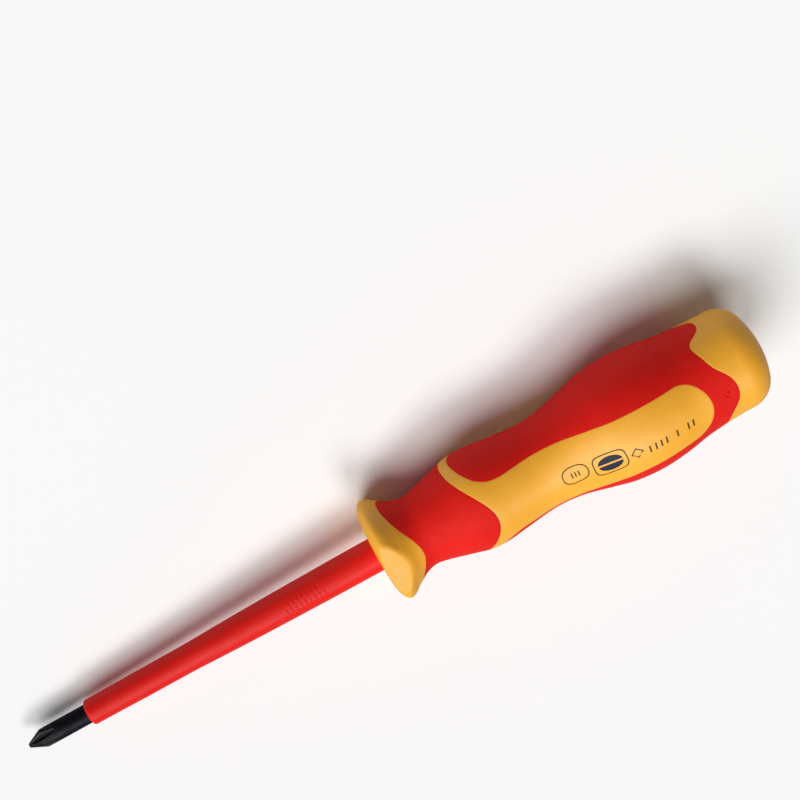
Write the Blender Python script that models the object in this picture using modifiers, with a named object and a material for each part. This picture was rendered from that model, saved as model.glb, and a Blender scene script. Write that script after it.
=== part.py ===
"""Insulated cross-tip screwdriver with a two-colour moulded handle, lying along the X axis.

The origin is the middle of the blade's blunt tip. +X runs along the blade's axis to the handle's end, and
+Z is square to the upper one of the two flats that stop the guard from rolling. Angles round the handle are
counted from +Z, so the two yellow panels lie at 0 and 180 degrees and the broad red sides at 90 and 270.

From the inside out: a steel blade with stamped wings, a tapered insulating sleeve pushed up the blade, a
ribbed core moulded round both, and five mouldings on the core that lock on its ribs and meet end to end:
guard ring, front grip, panel yoke, rear grip and end cap.
"""

import math

import bmesh
import bpy
from mathutils import Matrix

MM = 0.001

# Driving dimensions, in metres.
BLADE_LENGTH = 100 * MM  # from the tip to the guard's front face
HANDLE_LENGTH = 108.6 * MM  # from the guard's front face to the flat land on the end cap
SHANK_RADIUS = 2.55 * MM
BARE_STEEL = 17 * MM  # steel in front of the sleeve; live-working tools may show 18 mm
FIT = 0.1 * MM  # gap between two pieces that touch

# Blade tip: a cone with four flutes between its wings.
TIP_FLAT_RADIUS = 0.55 * MM
TIP_HALF_ANGLE = math.radians(26.5)
FLUTE_DEPTH_RADIUS = 0.45 * MM  # distance of a flute's bottom from the axis, at the tip
FLUTE_LENGTH = 9.2 * MM
FLUTE_SIDE = 8 * MM

# Blade tang: two pairs of wings stamped out of the round bar, crossed.
TANG_END = 172 * MM
WING_STARTS = (148 * MM, 160 * MM)
WING_SIZE = (8 * MM, 8.4 * MM, 1.5 * MM)  # along the blade, across the wings, thickness
WING_CHAMFER = 0.5 * MM

# Sleeve, as (distance behind the tip, radius).
SLEEVE_OUTLINE = [(17.9, 3.42), (33, 3.55), (46, 3.61), (58, 3.94), (72, 4.2), (100, 4.45)]
SLEEVE_ROUNDING = 0.8 * MM
SLEEVE_IN_HANDLE = 12 * MM
COLLAR = (6 * MM, 9 * MM, 5.2 * MM)  # retaining collar inside the handle: start, end, radius

# Outside of the handle, as (distance behind the guard's face, radius), in millimetres.
GUARD_CREST = (2.6, 13.85)
GUARD_FACE_RADIUS = 8.6  # the front face is flat up to here and then rounds over to the crest
GRIP_OUTLINE = [
    GUARD_CREST,
    (6.2, 11.75),
    (9.0, 10.15),
    (11.9, 9.46),
    (15.2, 10.0),
    (21.5, 11.72),
    (26.0, 12.9),
    (30.2, 13.12),
    (36.0, 12.48),
    (45.4, 11.53),
    (52.5, 12.1),
    (60.0, 13.97),
    (66.0, 15.42),
    (73.9, 16.0),
    (81.0, 15.32),
    (88.0, 14.15),
    (99.0, 13.52),
]
END_LAND_RADIUS = 4.0
END_DOME_RADIUS = 25.0
END_CORNER_RADIUS = 7.0
GUARD_FLAT = 11.55 * MM  # distance of each anti-roll flat from the axis

# Hidden core, as (distance behind the guard's face, radius), in millimetres.
CORE_OUTLINE = [
    (3.0, 5.9),
    (12.0, 6.2),
    (21.5, 8.1),
    (30.2, 9.4),
    (45.4, 8.1),
    (60.0, 10.4),
    (73.9, 12.2),
    (88.0, 10.6),
    (99.0, 10.0),
    (104.0, 8.4),
]
RIB_HEIGHT = 1.2 * MM
RIB_WIDTH = 1.6 * MM
RIB_SPAN = (4.5 * MM, 101 * MM)

# Seen from above, half of the yoke's rear outline: behind the band it closes in to a tongue.
# (distance behind the guard's face, distance from the axis), in millimetres.
TONGUE_OUTLINE = [
    (26.0, 13.1),
    (27.1, 12.2),
    (29.5, 9.95),
    (32.6, 8.45),
    (38.0, 8.1),
    (46.0, 8.25),
    (58.0, 8.35),
    (74.0, 8.4),
    (82.8, 8.2),
]
TONGUE_END = 90.1  # the tongue's round end reaches this far back

# The end cap's edge: distance behind the guard's face at each angle in degrees from the panel's middle.
CAP_EDGE = [
    (0, 97.6),
    (12, 97.1),
    (20, 96.1),
    (28, 94.7),
    (36, 93.7),
    (45, 93.0),
    (54, 92.2),
    (61, 91.9),
    (67, 92.5),
    (72, 94.0),
    (78, 95.6),
    (84, 96.3),
    (90, 96.4),
]

# Mesh fineness.
ROUND_STEPS = 40
SHANK_STEPS = 28
RING_SPACING = 3.4 * MM
CORE_RINGS = 13
EDGE_POINTS = 25  # points on a wavy edge, from side to side
CUTTER_REACH = 22 * MM  # cutters reach this far from the axis, past every outline

YELLOW = (0.86, 0.50, 0.06)
RED = (0.72, 0.03, 0.02)
BLACK = (0.018, 0.018, 0.022)
CORE_GREY = (0.25, 0.25, 0.27)


# ---------------------------------------------------------------- curves and outlines


def smooth_value(points, x):
    """The smooth curve through (x, value) points, by cubic pieces with averaged slopes."""
    slopes = []
    for i in range(len(points)):
        before, after = points[max(i - 1, 0)], points[min(i + 1, len(points) - 1)]
        slopes.append((after[1] - before[1]) / (after[0] - before[0]))
    i = 0
    while i < len(points) - 2 and x > points[i + 1][0]:
        i += 1
    (x0, v0), (x1, v1) = points[i], points[i + 1]
    width = x1 - x0
    t = min(max((x - x0) / width, 0), 1)
    return (
        v0 * (1 + 2 * t) * (1 - t) ** 2
        + slopes[i] * width * t * (1 - t) ** 2
        + v1 * t * t * (3 - 2 * t)
        + slopes[i + 1] * width * t * t * (t - 1)
    )


def rounded_end():
    """Points round the end cap's corner and over its dome to the flat land: (x, radius) in metres."""
    side = GRIP_OUTLINE[-1][1]
    apex = HANDLE_LENGTH / MM + END_DOME_RADIUS - math.sqrt(END_DOME_RADIUS**2 - END_LAND_RADIUS**2)
    dome_centre = apex - END_DOME_RADIUS
    corner_radius = side - END_CORNER_RADIUS
    reach = END_DOME_RADIUS - END_CORNER_RADIUS
    corner_centre = dome_centre + math.sqrt(reach**2 - corner_radius**2)
    meeting = math.asin(corner_radius / reach)
    points = []
    for i in range(6):
        angle = math.pi / 2 + (meeting - math.pi / 2) * i / 5
        points.append(
            (
                corner_centre + END_CORNER_RADIUS * math.cos(angle),
                corner_radius + END_CORNER_RADIUS * math.sin(angle),
            )
        )
    land = math.asin(END_LAND_RADIUS / END_DOME_RADIUS)
    for i in range(1, 4):
        angle = meeting + (land - meeting) * i / 3
        points.append(
            (
                dome_centre + END_DOME_RADIUS * math.cos(angle),
                END_DOME_RADIUS * math.sin(angle),
            )
        )
    return [(x * MM, radius * MM) for x, radius in points]


def guard_nose():
    """Points from the guard's flat face over its rounded front to just before the crest, in metres."""
    crest_x, crest_radius = GUARD_CREST
    points = []
    for i in range(6):
        angle = math.pi / 2 * i / 6
        points.append(
            (
                crest_x * (1 - math.cos(angle)) * MM,
                (GUARD_FACE_RADIUS + (crest_radius - GUARD_FACE_RADIUS) * math.sin(angle)) * MM,
            )
        )
    return points


def grip_radius(x):
    """Radius of the handle x metres behind the guard's face, between the crest and the end cap's corner."""
    return smooth_value(GRIP_OUTLINE, x / MM) * MM


def grip_points(start, end):
    """Points along the handle's side from start to end: (x, radius) in metres."""
    count = max(round((end - start) / RING_SPACING), 1)
    stations = [start + (end - start) * i / count for i in range(count + 1)]
    return [(x, grip_radius(x)) for x in stations]


# ---------------------------------------------------------------- edges between mouldings


def guard_edge(angle):
    """Where the guard ends and the front grip begins, in metres behind the guard's face."""
    return (8.0 + 2.5 * math.cos(2 * angle) + 0.15 * math.cos(4 * angle)) * MM


def collar_edge(angle):
    """Where the front grip ends and the yoke's band begins."""
    return (26.7 + 3.6 * math.cos(2 * angle) + 0.45 * math.cos(4 * angle)) * MM


def cap_edge(angle):
    """Where the rear grip ends and the end cap begins: a broad lobe at the panel and a small one at the side."""
    across = math.degrees(math.asin(abs(math.sin(angle))))
    return smooth_value(CAP_EDGE, across) * MM


def edge_line(edge, shift=0.0):
    """An edge seen from above, from -Y to +Y: (x, y) in metres, moved back by shift."""
    line = []
    for i in range(EDGE_POINTS):
        angle = math.pi * (i / (EDGE_POINTS - 1) - 0.5)
        x = edge(angle)
        line.append((x + shift, grip_radius(x) * math.sin(angle)))
    low, high = line[0], line[-1]
    return [(low[0], -CUTTER_REACH), *line, (high[0], CUTTER_REACH)]


def tongue_line(grow=0.0):
    """The yoke's rear outline seen from above, from -Y to +Y, moved outwards by grow."""
    start, straight_end = TONGUE_OUTLINE[0][0], TONGUE_OUTLINE[-1][0]
    half = []
    for x, y in TONGUE_OUTLINE[:4]:
        half.append((x * MM + grow, y * MM + grow))
    for x in range(36, int(straight_end), 6):
        half.append((x * MM, smooth_value(TONGUE_OUTLINE[3:], x) * MM + grow))
    half_width = TONGUE_OUTLINE[-1][1] * MM + grow
    length = (TONGUE_END - straight_end) * MM + grow
    for i in range(9):
        angle = math.pi / 2 * i / 8
        half.append((straight_end * MM + length * math.sin(angle), half_width * math.cos(angle)))
    outside = (start * MM + grow, CUTTER_REACH)
    mirrored = [(x, -y) for x, y in half[:-1]]
    return [(outside[0], -CUTTER_REACH), *mirrored, *reversed(half), outside]


# ---------------------------------------------------------------- modelling tools


def collection(name):
    made = bpy.data.collections.new(name)
    bpy.context.scene.collection.children.link(made)
    return made


def make_helper(obj):
    """Marks an object as a cutter: it shapes other pieces and isn't one itself."""
    obj.hide_render = True
    obj.display_type = "WIRE"
    return obj


def link(obj, group):
    group.objects.link(obj)
    if group.name == "cutters":
        make_helper(obj)
    return obj


def turned(name, outline, group, steps=ROUND_STEPS, closed=False):
    """A solid turned about the X axis from (x, radius) points that run from the tip's end to the handle's end.

    An open outline starts and ends on the axis. A closed one is the section of a ring, outside first.
    """
    rows = list(reversed(outline))
    edges = [(i, i + 1) for i in range(len(rows) - 1)]
    if closed:
        edges.append((len(rows) - 1, 0))
    mesh = bpy.data.meshes.new(name)
    mesh.from_pydata([(radius, 0, x) for x, radius in rows], edges, [])
    obj = link(bpy.data.objects.new(name, mesh), group)
    obj.rotation_euler = (0, math.pi / 2, 0)
    screw = obj.modifiers.new("turn", "SCREW")
    screw.steps = screw.render_steps = steps
    screw.use_merge_vertices = True
    screw.merge_threshold = 0.00001
    screw.use_smooth_shade = False
    return obj


def box(name, size, group):
    bpy.ops.mesh.primitive_cube_add(size=1)
    obj = bpy.context.object
    obj.name = name
    obj.data.transform(Matrix.Diagonal((*size, 1)))
    for owner in list(obj.users_collection):
        owner.objects.unlink(obj)
    return link(obj, group)


def prism(name, outline, group):
    """A cutter that stands on the outline seen from above: (x, y) points, made as a filled flat curve."""
    curve = bpy.data.curves.new(name, "CURVE")
    curve.dimensions = "2D"
    curve.fill_mode = "BOTH"
    curve.extrude = CUTTER_REACH
    spline = curve.splines.new("POLY")
    spline.points.add(len(outline) - 1)
    for point, (x, y) in zip(spline.points, outline):
        point.co = (x, y, 0, 1)
    spline.use_cyclic_u = True
    drawn = bpy.data.objects.new(name + "_curve", curve)
    bpy.context.scene.collection.objects.link(drawn)
    bpy.context.view_layer.update()
    evaluated = drawn.evaluated_get(bpy.context.evaluated_depsgraph_get())
    mesh = bpy.data.meshes.new_from_object(evaluated)
    mesh.name = name
    bpy.data.objects.remove(drawn)
    weld(mesh)
    return link(bpy.data.objects.new(name, mesh), group)


def weld(mesh):
    """Joins a converted curve's caps to its sides and turns its faces outwards."""
    shape = bmesh.new()
    shape.from_mesh(mesh)
    bmesh.ops.remove_doubles(shape, verts=shape.verts, dist=0.000001)
    bmesh.ops.recalc_face_normals(shape, faces=shape.faces)
    shape.to_mesh(mesh)
    shape.free()


def cut(obj, operation, other):
    boolean = obj.modifiers.new(f"{operation.lower()}_{other.name}", "BOOLEAN")
    boolean.operation = operation
    boolean.object = other
    boolean.solver = "EXACT"
    return obj


def paint(obj, name, colour, roughness, metallic=0.0):
    material = bpy.data.materials.get(name) or bpy.data.materials.new(name)
    material.use_nodes = True
    shader = material.node_tree.nodes["Principled BSDF"]
    shader.inputs["Base Color"].default_value = (*colour, 1)
    shader.inputs["Roughness"].default_value = roughness
    shader.inputs["Metallic"].default_value = metallic
    obj.data.materials.append(material)
    return obj


# ---------------------------------------------------------------- blade


def shank_outline(grow):
    cone_end = (SHANK_RADIUS - TIP_FLAT_RADIUS) / math.tan(TIP_HALF_ANGLE)
    chamfer = 0.6 * MM
    return [
        (0, 0),
        (0, TIP_FLAT_RADIUS),
        (cone_end, SHANK_RADIUS + grow),
        (BARE_STEEL, SHANK_RADIUS + grow),
        (BLADE_LENGTH, SHANK_RADIUS + grow),
        (TANG_END - chamfer + grow, SHANK_RADIUS + grow),
        (TANG_END + grow, SHANK_RADIUS - chamfer + grow),
        (TANG_END + grow, 0),
    ]


def blade_shape(name, group, cutters, grow=0.0):
    """The round bar with its crossed pairs of wings, without the flutes."""
    bar = turned(name, shank_outline(grow), group, SHANK_STEPS)
    for i, start in enumerate(WING_STARTS):
        size = [side + 2 * grow for side in WING_SIZE]
        wings = box(f"{name}_wings_{i + 1}", size, cutters)
        wings.location = (start + WING_SIZE[0] / 2, 0, 0)
        wings.rotation_euler = (i * math.pi / 2, 0, 0)
        bevel = wings.modifiers.new("chamfer", "BEVEL")
        bevel.width = WING_CHAMFER
        bevel.segments = 1
        cut(bar, "UNION", wings)
    return bar


def flute(number, cutters):
    """A square bar on edge, whose lower edge is the flute's bottom and climbs out of the shank."""
    cutter = box(f"flute_{number}", (3 * FLUTE_LENGTH, FLUTE_SIDE, FLUTE_SIDE), cutters)
    half_diagonal = FLUTE_SIDE / math.sqrt(2)
    climb = math.atan2(SHANK_RADIUS - FLUTE_DEPTH_RADIUS, FLUTE_LENGTH)
    on_edge = Matrix.Rotation(math.pi / 4, 4, "X")
    lift = Matrix.Translation((0, 0, half_diagonal))
    tilt = Matrix.Rotation(-climb, 4, "Y")
    start = Matrix.Translation((0, 0, FLUTE_DEPTH_RADIUS))
    turn = Matrix.Rotation(math.pi / 4 + number * math.pi / 2, 4, "X")
    cutter.data.transform(turn @ start @ tilt @ lift @ on_edge)
    return cutter


def make_blade(group, cutters):
    blade = blade_shape("blade", group, cutters)
    for number in range(4):
        cut(blade, "DIFFERENCE", flute(number, cutters))
    return paint(blade, "black_steel", BLACK, 0.4, 0.8)


# ---------------------------------------------------------------- sleeve


def sleeve_outer(grow=0.0):
    """The sleeve's outside from its round front edge to its end inside the handle."""
    front, front_radius = SLEEVE_OUTLINE[0][0] * MM, SLEEVE_OUTLINE[0][1] * MM
    points = []
    for i in range(4):
        angle = math.pi / 2 * i / 4
        points.append(
            (
                front - (front - BARE_STEEL) * math.cos(angle),
                front_radius - SLEEVE_ROUNDING * (1 - math.sin(angle)) + grow,
            )
        )
    for x in (18, 26, 34, 42, 48, 54, 60, 68, 78, 88, 100):
        points.append((x * MM, smooth_value(SLEEVE_OUTLINE, x) * MM + grow))
    start, end, radius = COLLAR
    neck = SLEEVE_OUTLINE[-1][1] * MM + grow
    points += [
        (BLADE_LENGTH + start - grow, neck),
        (BLADE_LENGTH + start - grow, radius + grow),
        (BLADE_LENGTH + end + grow, radius + grow),
        (BLADE_LENGTH + end + grow, neck),
        (BLADE_LENGTH + SLEEVE_IN_HANDLE + grow, neck),
    ]
    return points


def make_sleeve(group):
    bore = SHANK_RADIUS + FIT
    outer = sleeve_outer()
    inner = [(BLADE_LENGTH + SLEEVE_IN_HANDLE, bore), (BARE_STEEL, bore)]
    sleeve = turned("shaft_sleeve", outer + inner, group, SHANK_STEPS, closed=True)
    return paint(sleeve, "red_sleeve", RED, 0.4)


# ---------------------------------------------------------------- core


def core_outer(extra):
    """The core's turned outside with extra added all round: (x, radius) from axis to axis, x from the tip."""
    first, last = CORE_OUTLINE[0][0] * MM, CORE_OUTLINE[-1][0] * MM
    points = [(BLADE_LENGTH + first - extra, 0)]
    for i in range(CORE_RINGS + 1):
        x = first + (last - first) * i / CORE_RINGS
        reach = -extra if i == 0 else extra if i == CORE_RINGS else 0
        points.append((BLADE_LENGTH + x + reach, smooth_value(CORE_OUTLINE, x / MM) * MM + extra))
    points.append((BLADE_LENGTH + last + extra, 0))
    return points


def ribbed_core(name, group, cutters, grow=0.0):
    """The core's outside with its four ribs. With grow it is the space that the mouldings leave for it."""
    core = turned(name, core_outer(grow), group)
    for side in (1, -1):
        ribs = turned(f"{name}_ribs_{side}", core_outer(RIB_HEIGHT + grow), cutters)
        start, end = RIB_SPAN
        size = (end - start + 2 * grow, RIB_WIDTH + 2 * grow, 2 * CUTTER_REACH)
        plank = box(f"{name}_plank_{side}", size, cutters)
        plank.location = (BLADE_LENGTH + (start + end) / 2, 0, 0)
        plank.rotation_euler = (side * math.pi / 4, 0, 0)
        cut(ribs, "INTERSECT", plank)
        cut(core, "UNION", ribs)
    return core


def make_core(group, cutters, sleeve_space):
    core = ribbed_core("handle_core", group, cutters)
    cut(core, "DIFFERENCE", sleeve_space)
    cut(core, "DIFFERENCE", blade_shape("blade_space", cutters, cutters, FIT))
    return paint(core, "core_plastic", CORE_GREY, 0.5)


# ---------------------------------------------------------------- mouldings on the core


def zone(name, front_line, rear_line, cutters):
    """The space between two edges, each seen from above and running from -Y to +Y."""
    outline = [(BLADE_LENGTH + x, y) for x, y in front_line + rear_line[::-1]]
    return prism(name, outline, cutters)


def moulding(name, outline, front_line, rear_line, group, cutters, core_space):
    """A turned blank, kept between two edges and hollowed to sit on the core."""
    blank = [(BLADE_LENGTH + x, radius) for x, radius in outline]
    obj = turned(name, [(blank[0][0], 0), *blank, (blank[-1][0], 0)], group)
    cut(obj, "INTERSECT", zone(name + "_zone", front_line, rear_line, cutters))
    cut(obj, "DIFFERENCE", core_space)
    return obj


def straight_line(x):
    return [(x, -CUTTER_REACH), (x, CUTTER_REACH)]


def make_mouldings(group, cutters, core_space, sleeve_space):
    margin = 2 * MM
    ahead = straight_line(-margin)
    behind = straight_line(HANDLE_LENGTH + margin)
    side_start = GUARD_CREST[0] * MM
    side_end = GRIP_OUTLINE[-1][0] * MM

    guard = moulding(
        "guard_ring",
        guard_nose() + grip_points(side_start, 12 * MM),
        ahead,
        edge_line(guard_edge),
        group,
        cutters,
        core_space,
    )
    cut(guard, "DIFFERENCE", sleeve_space)
    for side in (1, -1):
        slab = box(f"guard_flat_cut_{side}", (4 * margin, 2 * CUTTER_REACH, 2 * margin), cutters)
        slab.location = (BLADE_LENGTH + 3 * MM, 0, side * (GUARD_FLAT + margin))
        cut(guard, "DIFFERENCE", slab)

    front_grip = moulding(
        "front_grip",
        grip_points(4 * MM, 33 * MM),
        edge_line(guard_edge, FIT),
        edge_line(collar_edge),
        group,
        cutters,
        core_space,
    )
    yoke = moulding(
        "panel_yoke",
        grip_points(21 * MM, 93 * MM),
        edge_line(collar_edge, FIT),
        tongue_line(),
        group,
        cutters,
        core_space,
    )
    rear_grip = moulding(
        "rear_grip",
        grip_points(24 * MM, side_end),
        tongue_line(FIT),
        edge_line(cap_edge),
        group,
        cutters,
        core_space,
    )
    cap = moulding(
        "end_cap",
        grip_points(90 * MM, side_end) + rounded_end(),
        edge_line(cap_edge, FIT),
        behind,
        group,
        cutters,
        core_space,
    )
    for obj in (guard, yoke, cap):
        paint(obj, "yellow_plastic", YELLOW, 0.45)
    for obj in (front_grip, rear_grip):
        paint(obj, "red_grip", RED, 0.5)


def main():
    for obj in list(bpy.data.objects):
        bpy.data.objects.remove(obj)
    screwdriver = collection("insulated_screwdriver")
    cutters = collection("cutters")
    core_space = ribbed_core("core_space", cutters, cutters, FIT)
    space_outline = [(BARE_STEEL, 0), *sleeve_outer(FIT)]
    space_outline.append((space_outline[-1][0], 0))
    sleeve_space = turned("sleeve_space", space_outline, cutters, SHANK_STEPS)
    make_blade(screwdriver, cutters)
    make_sleeve(screwdriver)
    make_core(screwdriver, cutters, sleeve_space)
    make_mouldings(screwdriver, cutters, core_space, sleeve_space)


main()
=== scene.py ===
"""Looks of the insulated screwdriver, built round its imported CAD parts.

Objects and the stage are in metres. Outlines, edges, prints and marks are given in millimetres. The tool
lies along +X with the blunt end of its tip at the origin. Angles round the handle are counted from +Z, the
middle of the upper yellow panel, towards +Y. Each visible piece is a closed mesh, finer than the CAD node
that it stands for, with the same outline.
"""

import math
from bisect import bisect_right

import bmesh
import bpy
from mathutils import Matrix, Vector
from mathutils.geometry import delaunay_2d_cdt


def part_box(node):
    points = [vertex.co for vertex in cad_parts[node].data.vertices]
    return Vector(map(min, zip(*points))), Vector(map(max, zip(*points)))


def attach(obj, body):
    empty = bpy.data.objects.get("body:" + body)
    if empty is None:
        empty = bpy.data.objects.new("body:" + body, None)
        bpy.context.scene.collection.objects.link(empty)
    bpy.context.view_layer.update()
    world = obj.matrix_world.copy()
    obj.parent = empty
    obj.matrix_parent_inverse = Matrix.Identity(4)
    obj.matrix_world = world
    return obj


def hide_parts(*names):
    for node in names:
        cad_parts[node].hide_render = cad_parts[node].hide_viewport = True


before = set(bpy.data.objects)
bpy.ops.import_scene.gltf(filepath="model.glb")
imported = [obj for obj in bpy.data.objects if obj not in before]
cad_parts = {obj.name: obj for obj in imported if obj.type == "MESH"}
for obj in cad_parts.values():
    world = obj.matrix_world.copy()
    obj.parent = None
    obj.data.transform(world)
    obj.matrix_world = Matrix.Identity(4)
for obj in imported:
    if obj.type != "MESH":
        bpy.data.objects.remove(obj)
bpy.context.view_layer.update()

MM = 0.001

# ---------------------------------------------------------------- sizes

GUARD_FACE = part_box("guard_ring")[0].x
HANDLE_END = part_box("end_cap")[1].x
GUARD_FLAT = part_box("guard_ring")[1].z
SLEEVE_FRONT, SLEEVE_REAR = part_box("shaft_sleeve")[0].x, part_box("shaft_sleeve")[1].x
TANG_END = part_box("blade")[1].x
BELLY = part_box("rear_grip")[1].y
BELLY_X = 73.9 * MM

SHANK_RADIUS = 2.55 * MM
TIP_FLAT_RADIUS = 0.55 * MM
TIP_HALF_ANGLE = math.radians(26.5)
FLUTE_DEPTH_RADIUS = 0.45 * MM
FLUTE_LENGTH = 9.2 * MM

# Outlines as (x, radius) in millimetres: x from the tip for the sleeve, from the guard's face otherwise.
SLEEVE_OUTLINE = [(17.9, 3.42), (33, 3.55), (46, 3.61), (58, 3.94), (72, 4.2), (100, 4.45)]
SLEEVE_COLLAR = (6, 9, 5.2)  # start and end behind the guard's face, radius
SLEEVE_HOLE_RADIUS = 4.55
GUARD_CREST = (2.6, 13.85)
GUARD_FACE_RADIUS = 8.6
GRIP_OUTLINE = [
    GUARD_CREST,
    (6.2, 11.75),
    (9.0, 10.15),
    (11.9, 9.46),
    (15.2, 10.0),
    (21.5, 11.72),
    (26.0, 12.9),
    (30.2, 13.12),
    (36.0, 12.48),
    (45.4, 11.53),
    (52.5, 12.1),
    (60.0, 13.97),
    (66.0, 15.42),
    (BELLY_X / MM, BELLY / MM),
    (81.0, 15.32),
    (88.0, 14.15),
    (99.0, 13.52),
]
END_LAND_RADIUS = 4.0
END_DOME_RADIUS = 25.0
END_CORNER_RADIUS = 7.0

FLAT_REACH = 12  # the guard's flats end before this far behind its face
FLAT_SOFTNESS = 0.6  # how gently each flat rounds into the rim

# The room for the core and its ribs inside the mouldings.
ROOM_OUTLINE = [
    (2.7, 7.3),
    (12.0, 7.65),
    (21.5, 9.5),
    (30.2, 10.8),
    (45.4, 9.5),
    (60.0, 11.8),
    (73.9, 13.6),
    (88.0, 12.0),
    (99.0, 11.2),
    (104.4, 9.0),
]

# Half of the panel's edge seen from above, in millimetres: from the band at the side to the tongue.
PANEL_SHOULDER = [(26.1, 90), (27.0, 70), (28.4, 58), (30.0, 49), (32.6, 42.5), (36.0, 40.6)]
TONGUE_HALF_WIDTH = [(36.0, 8.12), (46.0, 8.25), (58.0, 8.35), (74.0, 8.4), (82.8, 8.2)]
TONGUE_END = 90.1

# The end cap's edge: distance behind the guard's face at each angle in degrees from the panel's middle.
CAP_EDGE = [
    (0, 97.6),
    (12, 97.1),
    (20, 96.1),
    (28, 94.7),
    (36, 93.7),
    (45, 93.0),
    (54, 92.2),
    (61, 91.9),
    (67, 92.5),
    (72, 94.0),
    (78, 95.6),
    (84, 96.3),
    (90, 96.4),
]

# The moulded edge of a zone: how far the surface has dropped at each distance from the edge.
LIP = [(0.0, 0.10), (0.03, 0.055), (0.08, 0.02), (0.16, 0.005), (0.3, 0.0)]

COLUMNS = 256
ANGLES = [2 * math.pi * i / COLUMNS for i in range(COLUMNS)]  # round the handle
SKIN_SPACING = 0.8
INNER_SPACING = 3.0
MERGE_DISTANCE = 0.0000008  # in metres
SHARP_ANGLE = math.radians(38)
BLADE_SHARP_ANGLE = math.radians(28)

# Steps of the handle's outline: the guard's face, its rim, the grips, the cap's corner and its dome.
FACE_STEPS, RIM_STEPS, GRIP_STEPS, CORNER_STEPS, DOME_STEPS = 20, 120, 1920, 160, 80


def smooth_value(points, x):
    """The smooth curve through (x, value) points: cubic pieces, level at both ends."""
    slopes = [0.0]
    for i in range(1, len(points) - 1):
        before, after = points[i - 1], points[i + 1]
        slopes.append((after[1] - before[1]) / (after[0] - before[0]))
    slopes.append(0.0)
    i = 0
    while i < len(points) - 2 and x > points[i + 1][0]:
        i += 1
    (x0, v0), (x1, v1) = points[i], points[i + 1]
    width = x1 - x0
    t = min(max((x - x0) / width, 0), 1)
    return (
        v0 * (1 + 2 * t) * (1 - t) ** 2
        + slopes[i] * width * t * (1 - t) ** 2
        + v1 * t * t * (3 - 2 * t)
        + slopes[i + 1] * width * t * t * (t - 1)
    )


def smooth_step(value, low, high):
    t = min(max((value - low) / (high - low), 0), 1)
    return t * t * (3 - 2 * t)


# ---------------------------------------------------------------- the handle's skin


def handle_profile():
    """The handle's outline in fine steps, from the hole in the guard's face to the end land's edge."""
    face = GUARD_FACE_RADIUS - SLEEVE_HOLE_RADIUS
    points = [(0, SLEEVE_HOLE_RADIUS + face * i / FACE_STEPS) for i in range(FACE_STEPS)]
    crest_x, crest_radius = GUARD_CREST
    for i in range(RIM_STEPS):
        angle = math.pi / 2 * i / RIM_STEPS
        radius = GUARD_FACE_RADIUS + (crest_radius - GUARD_FACE_RADIUS) * math.sin(angle)
        points.append((crest_x * (1 - math.cos(angle)), radius))
    end = GRIP_OUTLINE[-1][0]
    for i in range(GRIP_STEPS):
        x = crest_x + (end - crest_x) * i / GRIP_STEPS
        points.append((x, smooth_value(GRIP_OUTLINE, x)))
    land_x = (HANDLE_END - GUARD_FACE) / MM
    dome_centre = land_x - math.sqrt(END_DOME_RADIUS**2 - END_LAND_RADIUS**2)
    corner_radius = GRIP_OUTLINE[-1][1] - END_CORNER_RADIUS
    reach = END_DOME_RADIUS - END_CORNER_RADIUS
    corner_centre = dome_centre + math.sqrt(reach**2 - corner_radius**2)
    meeting = math.asin(corner_radius / reach)
    for i in range(CORNER_STEPS):
        angle = math.pi / 2 + (meeting - math.pi / 2) * i / CORNER_STEPS
        x = corner_centre + END_CORNER_RADIUS * math.cos(angle)
        points.append((x, corner_radius + END_CORNER_RADIUS * math.sin(angle)))
    land = math.asin(END_LAND_RADIUS / END_DOME_RADIUS)
    for i in range(DOME_STEPS + 1):
        angle = meeting + (land - meeting) * i / DOME_STEPS
        x = dome_centre + END_DOME_RADIUS * math.cos(angle)
        points.append((x, END_DOME_RADIUS * math.sin(angle)))
    return points


PROFILE = handle_profile()
TRAVEL = [0.0]  # distance along the profile at each of its points, in millimetres
for before, after in zip(PROFILE, PROFILE[1:]):
    TRAVEL.append(TRAVEL[-1] + math.dist(before, after))
CREST_INDEX = FACE_STEPS + RIM_STEPS
PROFILE_X = [x for x, radius in PROFILE[CREST_INDEX:]]


def along(u):
    """(x, radius, outward normal) of the profile at distance u along it."""
    i = min(max(bisect_right(TRAVEL, u) - 1, 0), len(PROFILE) - 2)
    t = (u - TRAVEL[i]) / (TRAVEL[i + 1] - TRAVEL[i])
    (x0, r0), (x1, r1) = PROFILE[i], PROFILE[i + 1]
    length = math.hypot(x1 - x0, r1 - r0)
    return x0 + (x1 - x0) * t, r0 + (r1 - r0) * t, ((r0 - r1) / length, (x1 - x0) / length)


def travel_at(x):
    """Distance along the profile at x millimetres behind the guard's face, behind the crest."""
    i = min(max(bisect_right(PROFILE_X, x) - 1, 0), len(PROFILE_X) - 2)
    t = (x - PROFILE_X[i]) / (PROFILE_X[i + 1] - PROFILE_X[i])
    return TRAVEL[CREST_INDEX + i] + t * (TRAVEL[CREST_INDEX + i + 1] - TRAVEL[CREST_INDEX + i])


def soft_min(value, limit, softness):
    blend = min(max(0.5 + 0.5 * (limit - value) / softness, 0), 1)
    return limit * (1 - blend) + value * blend - softness * blend * (1 - blend)


def soft_max(value, limit, softness):
    return -soft_min(-value, -limit, softness)


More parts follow.
